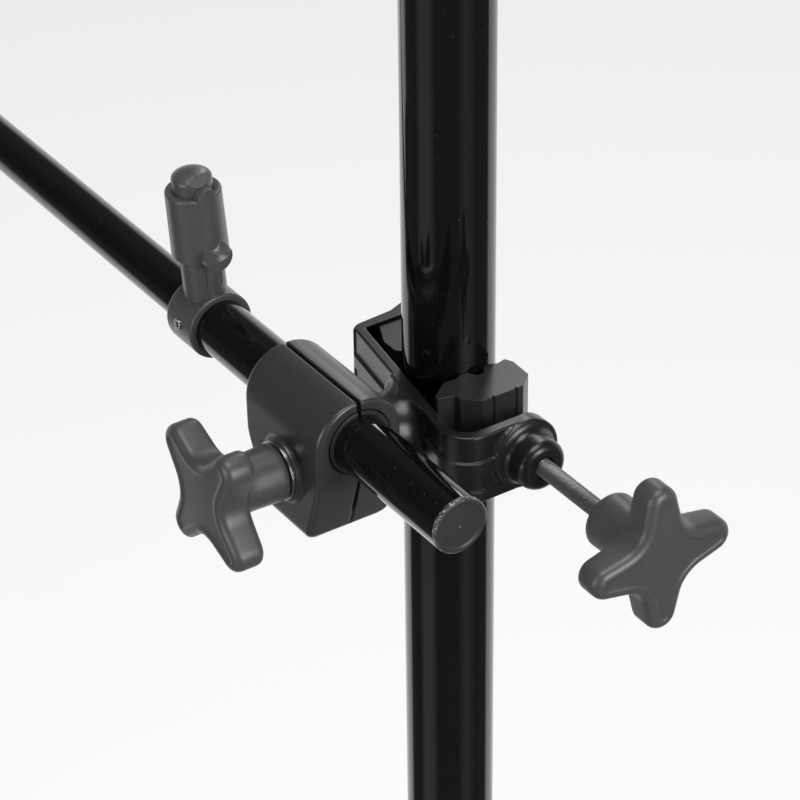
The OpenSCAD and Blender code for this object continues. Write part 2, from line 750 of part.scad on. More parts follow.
module pivot_bolt() {
    head_end = spine_in + 6;
    thread_start = swivel_knob_y - 2;
    color("silver") at_pivot() {
        bar_y(bolt_head_r, head_end - 4, head_end);
        bar_y(screw_r, head_end, thread_start);
        translate([0, -thread_start, 0]) rotate([90, 0, 0])
            thread_rings(screw_r, screw_pitch, knob_hub_len - 5);
    }
}

module friction_washer() {
    color("ivory") at_pivot() difference() {
        bar_y(pivot_boss_r - 2, pivot_boss_end, pivot_boss_end + swivel_washer_t);
        bar_y(screw_r, 0, boom_side);
    }
}

// End outline of the swivel block, seen along the boom
function block_outline() = rounded([
    [-block_face_out, block_top, 19], [-block_face_out, block_bottom, 5],
    [-block_face_in, block_bottom, 7], [-block_face_in, block_top, 19]
], 8);

module block_body() {
    difference() {
        intersection() {
            translate([block_back, 0, 0]) rotate([90, 0, 90]) linear_extrude(block_len) polygon(block_outline());
            translate([0, -block_face_in + past, 0]) rotate([90, 0, 0])
                linear_extrude(2 * block_half + 2 * past) polygon(rounded([
                    [block_front, block_top + past, 0], [block_front, lean_top, 8],
                    [block_front - front_lean, block_bottom, 4], [block_back + back_lean, block_bottom, 8],
                    [block_back, lean_top - 2.5, 16], [block_back, block_top + past, 0]
                ]));
            translate([0, 0, block_bottom - past]) linear_extrude(block_top - block_bottom + 2 * past)
                polygon(rounded([
                    [block_back, -block_face_out, 3], [block_front, -block_face_out, 3],
                    [block_front, -block_face_in, 3], [block_back, -block_face_in, 3]
                ], 3));
        }
        translate([0, -boom_side, boom_rise]) {
            bar_x(liner_r + fit, block_back - past, block_front + past);
            for (x = [block_back, block_front])
                bar_x(liner_r + liner_lip + gap, x - liner_lip_t - gap, x + liner_lip_t + gap);
        }
        translate([pivot_x, 0, 0]) bar_y(screw_r + fit, 0, 2 * boom_side);
    }
}

// Room outside one half of the block. The halves meet at the bottom and stay apart at the top
module half_room(side) {
    heel = block_bottom + 10;
    edge = boom_side - side * split_gap / 2;
    far = side * 2 * block_half;
    translate([block_back - past, -edge - (side > 0 ? far : 0), heel])
        cube([block_len + 2 * past, 2 * block_half, block_top - heel + past]);
    translate([block_back - past, -boom_side - (side > 0 ? far : 0), block_bottom - past])
        cube([block_len + 2 * past, 2 * block_half, heel - block_bottom + past]);
}

module block_inner() {
    color("#3c3c3e") at_clamp() difference() {
        block_body();
        half_room(1);
    }
}

module block_outer() {
    color("#3c3c3e") at_clamp() {
        difference() {
            block_body();
            half_room(-1);
        }
        translate([pivot_x, 0, 0]) difference() {
            bar_y(knob_hub_d / 2 + 1.5, block_face_out - 1, block_face_out + hub_seat_t);
            bar_y(screw_r + fit, 0, 2 * boom_side);
        }
    }
}

// Split liner between the block and the boom, with a lip at each end
module boom_liner() {
    color("#1a1a1c") at_boom() difference() {
        union() {
            bar_x(liner_r, block_back, block_front);
            for (x = [block_back - gap, block_front + gap - liner_lip_t])
                bar_x(liner_r + liner_lip, x, x + liner_lip_t);
        }
        bar_x(liner_bore, block_back - 2 * past, block_front + 2 * past);
        translate([block_back - 2 * past, -0.8, 0]) cube([block_len + 4 * past, 1.6, 2 * liner_r]);
    }
}

module knob_washer() {
    seat = block_face_out + hub_seat_t;
    color("silver") at_pivot() difference() {
        bar_y(knob_hub_d / 2 + 0.6, seat, seat + knob_washer_t);
        bar_y(screw_r + fit, 0, 2 * boom_side);
    }
}

module at_swivel_knob() {
    at_pivot() translate([0, -swivel_knob_y, 0]) rotate([90, 0, 0]) rotate(swivel_knob_turn) children();
}
module swivel_knob() { color("#404042") at_swivel_knob() large_knob(knob_hub_len - 5); }
module swivel_knob_insert() { color("goldenrod") at_swivel_knob() translate([0, 0, 2]) knob_insert(screw_r + fit); }

// ---------------------------------------------------------------- boom

module boom_tube(r, back, front) {
    difference() {
        bar_x(r, -back, front);
        bar_x(r - boom_wall, -back - past, front + past);
    }
}

module boom_outer() { color("black") at_boom() boom_tube(boom_r, outer_back, boom_front - 2); }

module boom_cap() {
    color("#202022") at_boom() {
        bar_x(boom_r - boom_wall, boom_front - 14, boom_front - 2);
        translate([boom_front - 2, 0, 0]) rotate([0, 90, 0]) rotate_extrude()
            polygon([[0, 0], [boom_r, 0], [boom_r, 1.2], [boom_r - 0.8, 2], [boom_r - 2.2, 2], [boom_r - 2.8, 1.5],
                [0, 1.8]]);
    }
}

inner_front = boom_front - 36;

module boom_inner() { color("black") at_boom() boom_tube(inner_r, inner_back - 2, inner_front); }

module boom_guide() {
    color("ivory") at_boom() {
        bar_x(inner_r - boom_wall, inner_front - 20, inner_front);
        bar_x(boom_r - boom_wall - fit, inner_front, inner_front + 4);
    }
}

module boom_far_cap() {
    color("#202022") at_boom() {
        bar_x(inner_r - boom_wall, -inner_back + 2, -inner_back + 14);
        translate([-inner_back, 0, 0]) rotate([0, 90, 0]) cylinder(r1 = inner_r - 1, r2 = inner_r, h = 2);
    }
}

// ---------------------------------------------------------------- reflector clips

stem_top = 40;
core_r = 5;
head_bottom_z = sleeve_bottom + sleeve_len - 2;
head_top_z = head_bottom_z + head_h_post;
head_r = 8.8;
hook_slot = 3.2;

// Post: stem with grooves, slim core for the spring, and a domed head with a hook slot
module clip_post_body() {
    dome = 3.5;
    difference() {
        union() {
            cylinder(r = post_d / 2, h = stem_top);
            cylinder(r = core_r, h = head_bottom_z + 1);
            translate([0, 0, head_bottom_z]) rotate_extrude() polygon(concat(
                [[0, 0], [head_r, 0], [head_r, head_h_post - dome]],
                [for (a = [15:15:90]) [head_r * cos(a), head_h_post - dome + dome * sin(a)]]
            ));
        }
        for (side = [-1, 1]) translate([post_d / 2 - 1.2, side * 4 - 0.9, 20]) cube([3, 1.8, 30]);
        translate([-head_r - past, -head_r, head_bottom_z + 3]) cube([head_r + past - 2, 2 * head_r, hook_slot]);
        translate([head_r * 0.55, -head_r, head_top_z - 1]) rotate([0, 38, 0]) cube([12, 2 * head_r, 8]);
    }
}

// Ring round the boom, from x0 to x1, with the post standing on it
module clip_post(x0, x1, bore) {
    difference() {
        union() {
            translate([x0, 0, 0]) rotate([0, 90, 0]) rotate_extrude() polygon(rounded([
                [0, 0, 0], [ring_r, 0, 1.5], [ring_r, x1 - x0, 1], [0, x1 - x0, 0]
            ], 3));
            translate([(x0 + x1) / 2, 0, 0]) clip_post_body();
        }
        bar_x(bore, x0 - past, x1 + past);
        translate([(x0 + x1) / 2, 0, 0]) rotate([-9, 0, 0]) bar_y(set_screw_r, 0, ring_r + past);
    }
}

set_screw_r = 2.5;

module clip_set_screw(x, grip_r) {
    translate([x, 0, 0]) rotate([-9, 0, 0]) difference() {
        bar_y(set_screw_r, grip_r, ring_r + 0.6);
        translate([0, -ring_r + 1.6, 0]) rotate([90, 0, 0]) cylinder(r = 1.4, h = 4, $fn = 6);
    }
}

// Sliding sleeve: bored for the stem below and for the head above, with a web between,
// notches and a raised lug in its top rim, and a spoon-shaped thumb tab at its foot
module clip_sleeve_body() {
    outer = sleeve_d / 2;
    web_z = sleeve_len - 9;
    lug = 4.5;
    difference() {
        union() {
            rotate_extrude() polygon(rounded([
                [0, 0, 0], [outer, 0, 1.5], [outer - 0.3, sleeve_len, 1], [0, sleeve_len, 0]
            ], 3));
            intersection() {
                cylinder(r = outer - 0.3, h = sleeve_len + lug);
                translate([0, 0, sleeve_len]) rotate([90, 0, 90]) cylinder(r = lug, h = outer);
            }
            translate([outer - 2, 0, 5]) rotate([0, 90, 0]) difference() {
                cylinder(r = 6.5, h = 6);
                translate([-6, 0, 9.5]) sphere(r = 8.5);
            }
        }
        translate([0, 0, -past]) cylinder(r = post_d / 2 + fit, h = web_z - 2 + past);
        cylinder(r = core_r + gap, h = sleeve_len);
        translate([0, 0, web_z]) cylinder(r = head_r + gap, h = sleeve_len);
        translate([-outer - past, -4.5, web_z + 2.5]) cube([outer, 9, sleeve_len]);
    }
}

module clip_spring_body(length) {
    turns = 6;
    for (k = [0:turns - 1])
        translate([0, 0, spring_wire / 2 + k * (length - spring_wire) / (turns - 1)])
            rotate_extrude() translate([core_r + 1.8, 0]) circle(r = spring_wire / 2);
}

module at_near_clip() { at_boom() rotate([clip_lean, 0, 0]) children(); }
near_clip_x = (near_ring_back + near_ring_front) / 2;
spring_len = sleeve_bottom + sleeve_len - 9 - 2 - stem_top;

module near_clip_post() {
    color("#404042") at_near_clip() difference() {
        clip_post(near_ring_back, near_ring_front, inner_r + fit);
        bar_x(boom_r, -outer_back, near_ring_front + past);
    }
}
module near_clip_screw() { color("silver") at_near_clip() clip_set_screw(near_clip_x, boom_r); }
module near_clip_sleeve() {
    color("#404042") at_near_clip() translate([near_clip_x, 0, sleeve_bottom]) clip_sleeve_body();
}
module near_clip_spring() {
    color("silver") at_near_clip() translate([near_clip_x, 0, stem_top]) clip_spring_body(spring_len);
}

// The far clip faces the near one
module at_far_clip() {
    at_boom() rotate([clip_lean, 0, 0]) translate([far_clip_x, 0, 0]) mirror([1, 0, 0]) children();
}
module far_clip_post() { color("#404042") at_far_clip() clip_post(-ring_len / 2, ring_len / 2, inner_r); }
module far_clip_screw() { color("silver") at_far_clip() clip_set_screw(0, inner_r); }
module far_clip_sleeve() { color("#404042") at_far_clip() translate([0, 0, sleeve_bottom]) clip_sleeve_body(); }
module far_clip_spring() { color("silver") at_far_clip() translate([0, 0, stem_top]) clip_spring_body(spring_len); }

// ---------------------------------------------------------------- output

hub_sleeve();
hub_plug();
hub_head();
leg_collar_high();
leg_high();
foot_high();
leg_collar_mid();
leg_mid();
foot_mid();
leg_collar_low();
leg_low();
foot_low();
hub_knob();
hub_knob_screw();
hub_brake();
column();
column_collar();
column_brake();
column_knob();
column_knob_screw();
riser_1();
riser_1_guide();
riser_1_collar();
riser_1_brake();
riser_1_knob();
riser_1_knob_screw();
riser_2();
riser_2_guide();
stud();
bracket();
cradle();
screw_bush();
jaw();
jaw_clip();
clamp_screw();
clamp_knob();
clamp_knob_insert();
pivot_bolt();
friction_washer();
block_inner();
block_outer();
boom_liner();
knob_washer();
swivel_knob();
swivel_knob_insert();
boom_outer();
boom_cap();
boom_inner();
boom_guide();
boom_far_cap();
near_clip_post();
near_clip_screw();
near_clip_sleeve();
near_clip_spring();
far_clip_post();
far_clip_screw();
far_clip_sleeve();
far_clip_spring();
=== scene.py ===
import json
import math

import bmesh
import bpy
from mathutils import Matrix, Vector


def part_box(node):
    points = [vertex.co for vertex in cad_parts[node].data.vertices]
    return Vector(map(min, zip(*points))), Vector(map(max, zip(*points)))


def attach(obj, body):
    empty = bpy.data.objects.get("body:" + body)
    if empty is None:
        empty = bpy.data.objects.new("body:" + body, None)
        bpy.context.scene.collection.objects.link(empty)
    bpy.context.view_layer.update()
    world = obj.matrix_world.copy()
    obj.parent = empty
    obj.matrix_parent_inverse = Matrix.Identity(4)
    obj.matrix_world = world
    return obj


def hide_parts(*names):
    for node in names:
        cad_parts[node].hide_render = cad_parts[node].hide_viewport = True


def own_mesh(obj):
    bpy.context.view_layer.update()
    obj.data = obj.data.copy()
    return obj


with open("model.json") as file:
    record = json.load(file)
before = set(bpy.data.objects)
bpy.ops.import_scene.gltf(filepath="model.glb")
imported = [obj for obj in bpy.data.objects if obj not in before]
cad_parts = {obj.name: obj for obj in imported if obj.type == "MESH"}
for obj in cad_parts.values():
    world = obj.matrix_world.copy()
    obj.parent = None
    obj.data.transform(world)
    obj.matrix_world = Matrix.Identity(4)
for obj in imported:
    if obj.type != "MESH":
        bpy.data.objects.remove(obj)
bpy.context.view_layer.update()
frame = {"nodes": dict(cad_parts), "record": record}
record = frame["record"]


# ---------------------------------------------------------------- node helpers

class Graph:
    """A small builder for one node tree."""

    def __init__(self, tree):
        self.tree = tree
        tree.nodes.clear()

    def add(self, kind, links=None, **values):
        node = self.tree.nodes.new(kind)
        for key, value in values.items():
            setattr(node, key, value)
        for key, source in (links or {}).items():
            if hasattr(source, "is_output"):
                self.tree.links.new(source, node.inputs[key])
            else:
                node.inputs[key].default_value = source
        return node


BROAD_SCALE, SPOT_SCALE = 35.0, 1400.0
SPOT_STEP = 0.05
RIM_SPOTS, DUST_SPOTS = 0.54, 0.76
RIM_WIDTH, RIM_EDGE = 0.0009, 0.0002


def surface(name, base, roughness, speck=0.12, grain=900.0, bump=0.06, rough_vary=0.12,
            metallic=0.0, edge=0.0004, dust=0.0, rim=None):
    """A procedural finish: colour flecks, uneven gloss, fine grain and softened edges.

    dust is the tone of sparse pale specks. rim is (point on the axis, radius): the edge there is chipped.
    """
    mat = bpy.data.materials.new(name)
    mat.use_nodes = True
    g = Graph(mat.node_tree)
    where = g.add("ShaderNodeTexCoord").outputs["Object"]
    broad = g.add("ShaderNodeTexNoise", {"Vector": where, "Scale": BROAD_SCALE, "Detail": 4.0})
    fine = g.add("ShaderNodeTexNoise", {"Vector": where, "Scale": grain, "Detail": 3.0})
    dark = tuple(c * (1 - speck) for c in base) + (1.0,)
    light = tuple(min(1.0, c * (1 + speck) + speck * 0.004) for c in base) + (1.0,)
    colour = g.add("ShaderNodeMix", {"Factor": fine.outputs["Fac"], "A": dark, "B": light}, data_type="RGBA")
    tone = colour.outputs["Result"]
    if dust:
        spots = g.add("ShaderNodeTexNoise", {"Vector": where, "Scale": SPOT_SCALE, "Detail": 1.0})
        least = RIM_SPOTS if rim else DUST_SPOTS
        amount = g.add("ShaderNodeMapRange", {"Value": spots.outputs["Fac"], "From Min": least,
                                              "From Max": least + SPOT_STEP}).outputs["Result"]
        if rim:
            middle, radius = rim
            across = g.add("ShaderNodeVectorMath", {0: where, 1: (0, 1, 1)}, operation="MULTIPLY")
            far = g.add("ShaderNodeVectorMath", {0: across.outputs["Vector"], 1: (0, middle.y, middle.z)},
                        operation="DISTANCE")
            near = g.add("ShaderNodeMapRange", {"Value": far.outputs["Value"], "From Min": radius - RIM_WIDTH,
                                                "From Max": radius - RIM_EDGE})
            both = g.add("ShaderNodeMath", {0: amount, 1: near.outputs["Result"]}, operation="MULTIPLY")
            amount = both.outputs["Value"]
        worn = g.add("ShaderNodeMix", {"Factor": amount, "A": tone, "B": (dust, dust, dust, 1.0)},
                     data_type="RGBA")
        tone = worn.outputs["Result"]
    rough = g.add("ShaderNodeMapRange", {
        "Value": broad.outputs["Fac"], "To Min": roughness * (1 - rough_vary),
        "To Max": roughness * (1 + rough_vary)})
    soft = g.add("ShaderNodeBevel", {"Radius": edge}, samples=6)
    height = g.add("ShaderNodeBump", {"Strength": bump, "Distance": 0.0002, "Height": fine.outputs["Fac"],
                                      "Normal": soft.outputs["Normal"]})
    shader = g.add("ShaderNodeBsdfPrincipled", {
        "Base Color": tone, "Roughness": rough.outputs["Result"], "Metallic": metallic,
        "Normal": height.outputs["Normal"]})
    g.add("ShaderNodeOutputMaterial", {"Surface": shader.outputs["BSDF"]})
    return mat


FINISH = {
    "black_tube": surface("gloss_black", (0.003, 0.003, 0.0031), 0.07, bump=0.01, grain=500, rough_vary=0.25,
                          dust=0.12),
    "bracket_black": surface("satin_black", (0.008, 0.008, 0.0084), 0.31, bump=0.03, grain=1400, edge=0.0006),
    "black_casting": surface("cast_black", (0.013, 0.013, 0.0135), 0.36, bump=0.1, grain=1100, edge=0.0008),
    "charcoal_plastic": surface("charcoal", (0.05, 0.05, 0.0525), 0.4, bump=0.12, grain=1500, edge=0.0008),
    "black_plastic": surface("black_moulded", (0.018, 0.018, 0.0185), 0.4, bump=0.08, grain=1500, edge=0.0006),
    "dark_steel": surface("dark_zinc", (0.46, 0.46, 0.465), 0.42, metallic=1.0, bump=0.05, grain=1500,
                          edge=0.00005),
    "bright_steel": surface("bright_zinc", (0.62, 0.62, 0.63), 0.24, metallic=1.0, bump=0.04, grain=1500,
                            edge=0.0003),
    "chrome_steel": surface("polished", (0.5, 0.5, 0.505), 0.14, metallic=1.0, bump=0.01, edge=0.0004),
    "brass": surface("brass_insert", (0.66, 0.47, 0.2), 0.3, metallic=1.0, bump=0.04, edge=0.0003),
    "nylon": surface("nylon_white", (0.72, 0.7, 0.64), 0.5, speck=0.03, bump=0.05, edge=0.0004),
    "rubber": surface("rubber_black", (0.014, 0.014, 0.014), 0.7, bump=0.2, grain=1300, edge=0.001),
}
cast = surface("cast_charcoal", (0.028, 0.028, 0.0291), 0.32, speck=0.3, bump=0.14, grain=1000, edge=0.0005)
moulded = surface("jaw_moulded", (0.018, 0.018, 0.0187), 0.36, bump=0.1, grain=1300, edge=0.0003)
cap_low, cap_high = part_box("boom_cap")
capped = surface("cap_moulded", (0.022, 0.022, 0.0225), 0.4, speck=0.3, bump=0.14, grain=1500, edge=0.0006,
                 dust=0.3, rim=((cap_low + cap_high) / 2, (cap_high.y - cap_low.y) / 2))
clipped = surface("clip_cast", (0.056, 0.056, 0.058), 0.32, speck=0.35, bump=0.12, grain=1100, edge=0.0005)
# Nodes whose finish differs from the rest of their slot
OWN_FINISH = {
    "near_clip_post": clipped, "near_clip_sleeve": clipped, "far_clip_post": clipped, "far_clip_sleeve": clipped,
    "block_inner": cast, "block_outer": cast, "jaw": moulded, "cradle": moulded, "boom_cap": capped,
}
slot_of = {s["node"]: s["material_slot"] for s in record["subparts"]}
for node, obj in frame["nodes"].items():
    for place in obj.material_slots:
        place.material = OWN_FINISH.get(node, FINISH[slot_of[node]])


# ---------------------------------------------------------------- detailed pieces

MM = 0.001


def finished(name, verts, faces, merge=False):
    """An object from points and faces, its normals turned outwards. merge closes it where points meet."""
    mesh = bpy.data.meshes.new(name)
    mesh.from_pydata([tuple(v) for v in verts], [], faces)
    mesh.validate()
    tidy = bmesh.new()
    tidy.from_mesh(mesh)
    if merge:
        bmesh.ops.remove_doubles(tidy, verts=tidy.verts, dist=0.00002)
        bmesh.ops.dissolve_degenerate(tidy, edges=tidy.edges, dist=0.00001)
        bmesh.ops.holes_fill(tidy, edges=[e for e in tidy.edges if e.is_boundary], sides=0)
    bmesh.ops.recalc_face_normals(tidy, faces=tidy.faces)
    tidy.to_mesh(mesh)
    tidy.free()
    mesh.shade_smooth()
    obj = bpy.data.objects.new(name, mesh)
    bpy.context.scene.collection.objects.link(obj)
    return obj


def skinned(name, rings, caps=(True, True), flat=False):
    """A skin over rings of equal length. A capped end is one face if flat, or a fan round its middle."""
    count = len(rings[0])
    verts = [p for ring in rings for p in ring]
    faces = []
    for i in range(len(rings) - 1):
        for k in range(count):
            a, b = i * count + k, i * count + (k + 1) % count
            faces.append((a, b, b + count, a + count))
    for capped, ring, start, order in ((caps[0], rings[0], 0, -1),
                                       (caps[1], rings[-1], (len(rings) - 1) * count, 1)):
        if not capped:
            continue
        if flat:
            faces.append(tuple(range(start, start + count)))
            continue
        verts.append(tuple(sum(p[i] for p in ring) / count for i in range(3)))
        for k in range(count):
            tri = (start + k, start + (k + 1) % count, len(verts) - 1)
            faces.append(tri[::order])
    return finished(name, verts, faces)


def weigh_normals(obj):
    """Keeps flat faces flat beside their rounded edges."""
    weigh = obj.modifiers.new("weighted", "WEIGHTED_NORMAL")
    weigh.weight = 100
    return obj


def dress(obj, node, body):
    """Puts a detailed piece in its solid's place, with that solid's finish."""
    obj.data.materials.append(OWN_FINISH.get(node, FINISH[slot_of[node]]))
    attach(obj, body)
    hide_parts(node)
    return obj


def arc(centre, radius, start, end, count):
    steps = [math.radians(start + (end - start) * k / count) for k in range(count + 1)]
    return [(centre[0] + radius * math.cos(a), centre[1] + radius * math.sin(a)) for a in steps]


def star_outline(tip_r):
    """Points and outward normals round a four-lobed star, as in the solid."""
    lobe_r, taper, web_r = tip_r * 0.21, math.radians(12), tip_r * 0.37
    tip_c = tip_r - lobe_r
    reach = tip_c * math.sin(taper) + lobe_r
    web_c = (reach + web_r) / (math.sin(taper) + math.cos(taper))
    quarter = []
    for x, y in arc((tip_c, 0), lobe_r, -78, 78, 16):
        quarter.append((x, y, (x - tip_c) / lobe_r, y / lobe_r))
    for x, y in arc((web_c, web_c), web_r, 258, 192, 16):
        quarter.append((x, y, (web_c - x) / web_r, (web_c - y) / web_r))
    outline = []
    for turn in range(4):
        c, s = round(math.cos(turn * math.pi / 2)), round(math.sin(turn * math.pi / 2))
        outline += [(c * x - s * y, s * x + c * y, c * nx - s * ny, s * nx + c * ny) for x, y, nx, ny in quarter]
    return outline


def lathe(name, profile, count=64, caps=(False, False)):
    """A turned skin about Z through (radius, height) points."""
    rings = [[(r * math.cos(2 * math.pi * k / count), r * math.sin(2 * math.pi * k / count), z)
              for k in range(count)] for r, z in profile]
    return skinned(name, rings, caps)


def joined(name, parts):
    """One object out of several."""
    bpy.context.view_layer.update()
    bpy.ops.object.select_all(action="DESELECT")
    for part in parts:
        part.select_set(True)
    bpy.context.view_layer.objects.active = parts[0]
    bpy.ops.object.join()
    parts[0].name = parts[0].data.name = name
    return parts[0]


def star_knob(name, tip_r, lobe_t, hub_r, hub_len, bore):
    """Star knob with rounded edges, a shallow dish inside its rim and a flared hub."""
    outline = star_outline(tip_r)
    back, face, crown = hub_len, hub_len + lobe_t, lobe_t * 0.04
    round_r = lobe_t * 0.24

    def ring(inset, height, front, scale=1):
        points = []
        for x, y, nx, ny in outline:
            px, py = (x - nx * inset) * scale, (y - ny * inset) * scale
            swell = 2 * crown * (px * px + py * py) / tip_r ** 2
            base = face + crown - swell if front else back + swell / 2
            points.append((px, py, base + height))
        return points

    turns = [math.radians(a) for a in range(0, 91, 15)]
    rings = [ring(round_r, 0, False, s) for s in (0.15, 0.5, 0.8)]
    rings += [ring(round_r * (1 - math.sin(a)), round_r * (1 - math.cos(a)), False) for a in turns]
    rings += [ring(round_r * (1 - math.cos(a)), -round_r * (1 - math.sin(a)), True) for a in turns]
    dish, slope = lobe_t * 0.035, lobe_t * 0.09
    rim = round_r + lobe_t * 0.03
    for step, drop in ((0.0, 0.0), (0.25, 0.15), (0.5, 0.5), (0.75, 0.85), (1.0, 1.0)):
        rings.append(ring(rim + step * slope, -dish * drop, True))
    rings += [ring(rim + slope, -dish, True, s) for s in (0.85, 0.6, 0.35, 0.12)]
    star = skinned(name + "_star", rings)
    waist = hub_r * 0.97
    hub = lathe(name + "_hub", [
        (bore, 0.6 * MM), (bore, 0), (hub_r - 1.6 * MM, 0), (hub_r - 0.5 * MM, 0.4 * MM), (hub_r, 1.5 * MM),
        (hub_r, 3 * MM), (waist, back * 0.6), (waist, back - 3 * MM), (waist + 0.5 * MM, back - 1.4 * MM),
        (waist + 1.4 * MM, back - 0.4 * MM), (waist + 3 * MM, back + 0.2 * MM), (waist + 3 * MM, back + 1.5 * MM)
    ])
    return joined(name, [star, hub])


def fit_knob(node, body, axis, turn_deg, tip_r, lobe_t, hub_r, hub_len, bore):
    """Puts a detailed star knob where its solid is."""
    low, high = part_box(node)
    middle = (low + high) / 2
    towards = Vector(axis)
    for i in range(3):
        if towards[i] > 0:
            middle[i] = low[i]
        elif towards[i] < 0:
            middle[i] = high[i]
    knob = star_knob(node + "_moulded", tip_r, lobe_t, hub_r, hub_len, bore)
    quarter = math.pi / 2
    spin = {(1, 0, 0): Matrix.Rotation(quarter, 4, "Y"),
            (0, -1, 0): Matrix.Rotation(quarter, 4, "X"),
            (0, 1, 0): Matrix.Rotation(quarter, 4, "Z") @ Matrix.Rotation(quarter, 4, "Y")}[tuple(axis)]
    knob.matrix_world = Matrix.Translation(middle) @ spin @ Matrix.Rotation(math.radians(turn_deg), 4, "Z")
    return dress(knob, node, body)


# Tip radius, lobe thickness, hub radius, hub length and bore radius
big = (34 * MM, 15 * MM, 12.5 * MM, 22 * MM, 4.1 * MM)
small = (23 * MM, 10 * MM, 10 * MM, 11 * MM, 4.1 * MM)
fit_knob("clamp_knob", "clamp_knob_body", (1, 0, 0), 1.5, *big)
fit_knob("swivel_knob", "swivel_knob_body", (0, -1, 0), 52, *big)
fit_knob("hub_knob", "hub_knob_body", (1, 0, 0), 0, *small)
fit_knob("column_knob", "column_knob_body", (0, 1, 0), 0, *small)
fit_knob("riser_1_knob", "riser_1_knob_body", (0, 1, 0), 0, *small)


# ---------------------------------------------------------------- swivel block and bracket

def outline(corners, closed=True, pitch=2.0 * MM, turn_step=8):
    """Points and outward normals along a path whose corners are (x, y, radius), left side inwards."""
    runs = []
    count = len(corners)
    for i, (x, y, radius) in enumerate(corners):
        here = Vector((x, y))
        before, after = Vector(corners[i - 1][:2]), Vector(corners[(i + 1) % count][:2])
        if not closed and i in (0, count - 1):
            along = (after - here if i == 0 else here - before).normalized()
            runs.append([(here, Vector((along.y, -along.x)))])
            continue
        u, w = (before - here).normalized(), (after - here).normalized()
        half = u.angle(w) / 2
        centre = here + (u + w).normalized() * radius / math.sin(half)
        start, end = here + u * radius / math.tan(half), here + w * radius / math.tan(half)
        a0 = math.atan2(start.y - centre.y, start.x - centre.x)
        a1 = math.atan2(end.y - centre.y, end.x - centre.x)
        turn = (a1 - a0 + 3 * math.pi) % (2 * math.pi) - math.pi
        steps = max(1, math.ceil(abs(turn) / math.radians(turn_step)))
        out = 1 if turn > 0 else -1
        rays = [Vector((math.cos(a0 + turn * k / steps), math.sin(a0 + turn * k / steps)))
                for k in range(steps + 1)]
        runs.append([(centre + radius * ray, out * ray) for ray in rays])
    points = []
    for i, run in enumerate(runs):
        points += run
        if closed or i < len(runs) - 1:
            (p, normal), (q, _) = run[-1], runs[(i + 1) % len(runs)][0]
            pieces = math.ceil((q - p).length / pitch)
            points += [(p.lerp(q, k / pieces), Vector(((q - p).y, -(q - p).x)).normalized())
                       for k in range(1, pieces)]
    return points


def smooth(low, high, value):
    t = min(1.0, max(0.0, (value - low) / (high - low)))
    return t * t * (3 - 2 * t)


inner_low, inner_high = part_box("block_inner")
outer_low, outer_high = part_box("block_outer")
boom_low, boom_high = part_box("boom_outer")
boom_axis = (boom_low + boom_high) / 2
block_bore = 14.7 * MM


def block_half(name, side, top_r, low_r, wide):
    """Half of the swivel block, swept round the boom's bore from the split at its top to that below."""
    top, bottom = inner_high.z - boom_axis.z, inner_low.z - boom_axis.z
    front, back = inner_high.x, inner_low.x
    lean_top, heel = -16.5 * MM, bottom + 10 * MM
    path = outline([(0, bottom, 0), (wide, bottom, low_r), (wide, top, top_r), (0, top, 0)], closed=False)

    def lean(z, amount):
        depth = lean_top - z
        soft = 2.5 * MM
        return amount / (lean_top - bottom) * (depth + math.hypot(depth, soft)) / 2

    def edge_r(normal, low):
        if normal.y < 0:
            return (2.6 + (low - 2.6) * normal.y ** 2) * MM
        return (2.6 - 1.4 * normal.y ** 2) * MM

    rings = []
    for place, normal in path:
        ray = place.normalized()
        loop = []
        for end, limit, lean_by, low in ((1, front, 9.5 * MM, 4), (-1, back, 16 * MM, 5)):
            radius = edge_r(normal, low)
            stretch = [(place - normal * radius * (1 - math.cos(a)), radius * (1 - math.sin(a)))
                       for a in (math.radians(15 * k) for k in range(7))]
            inside = (place - normal * radius)
            bore = ray * block_bore
            stretch += [(inside.lerp(bore + ray * 0.5 * MM, k / 6), 0) for k in range(1, 7)]
            stretch.append((bore, 0.5 * MM))
            points = [(limit - end * (lean(p.y, lean_by) + depth), p) for p, depth in stretch]
            loop += points if end > 0 else points[::-1]
        ring = []
        for x, p in loop:
            clear = (1.0 if p.y > heel else 0.22) * MM
            ring.append((x, boom_axis.y + side * max(p.x, clear), boom_axis.z + p.y))
        rings.append(ring[::side])
    return skinned(name, rings)


seat_t = 2.3 * MM
outer_wide = boom_axis.y - (outer_low.y + seat_t)
inner_wide = inner_high.y - boom_axis.y
dress(weigh_normals(block_half("block_inner_cast", 1, 19 * MM, 7 * MM, inner_wide)), "block_inner", "block_body")
seat = lathe("seat", [(16.5 * MM, -0.8 * MM), (15.2 * MM, 0), (14.4 * MM, 0.6 * MM), (14 * MM, 1.3 * MM),
                      (14 * MM, 1.9 * MM), (13.6 * MM, seat_t), (5 * MM, seat_t)])
knob_low, knob_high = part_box("swivel_knob")
seat.matrix_world = Matrix.Translation(((knob_low.x + knob_high.x) / 2, outer_low.y + seat_t,
                                        (knob_low.z + knob_high.z) / 2)) @ Matrix.Rotation(math.pi / 2, 4, "X")
outer_half = block_half("block_outer_half", -1, 19 * MM, 5 * MM, outer_wide)
dress(weigh_normals(joined("block_outer_cast", [outer_half, seat])), "block_outer", "block_body")


def placed(obj, place, turn=0, axis="X"):
    obj.matrix_world = Matrix.Translation(place) @ Matrix.Rotation(turn, 4, axis)
    return obj


